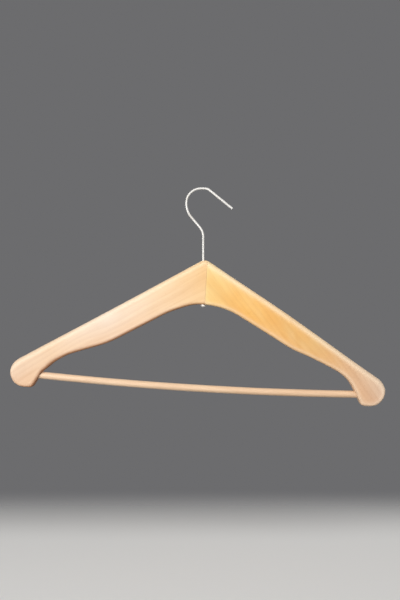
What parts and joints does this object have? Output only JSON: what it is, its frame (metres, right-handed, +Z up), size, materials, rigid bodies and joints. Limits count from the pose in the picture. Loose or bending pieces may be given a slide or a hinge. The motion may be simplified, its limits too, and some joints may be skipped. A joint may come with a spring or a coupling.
{
  "type": "clothes hanger",
  "caption": "Wooden clothes hanger: jointed sloping arms with round lobes, a trouser bar between the lobes, and a bent wire hook that swivels in the neck.",
  "frame": {"origin": "seat of the hook on its rail: the inside of the top of the bow, over the wire's shank", "axes": "+X along the trouser bar, towards the side that the hook opens to; +Y to the back; +Z up"},
  "size_m": [0.4189, 0.013, 0.2342],
  "materials": {
    "pale_beech": "worn satin lacquer",
    "golden_beech": "worn satin lacquer",
    "bar_beech": "bare and smooth",
    "hook_wire": "bright drawn wire",
    "washer_steel": "bright"
  },
  "bodies": {
    "hook": {"hook": "hook_wire"},
    "frame": {"left_arm": "pale_beech", "right_arm": "golden_beech", "trouser_bar": "bar_beech", "hook_washer": "washer_steel"}
  },
  "joints": [
    {"name": "hook_swivel", "type": "hinge", "parent": "hook", "child": "frame", "pos_m": [0, 0, 0], "axis": [-0.0558, 0, 0.9984], "continuous": true}
  ]
}
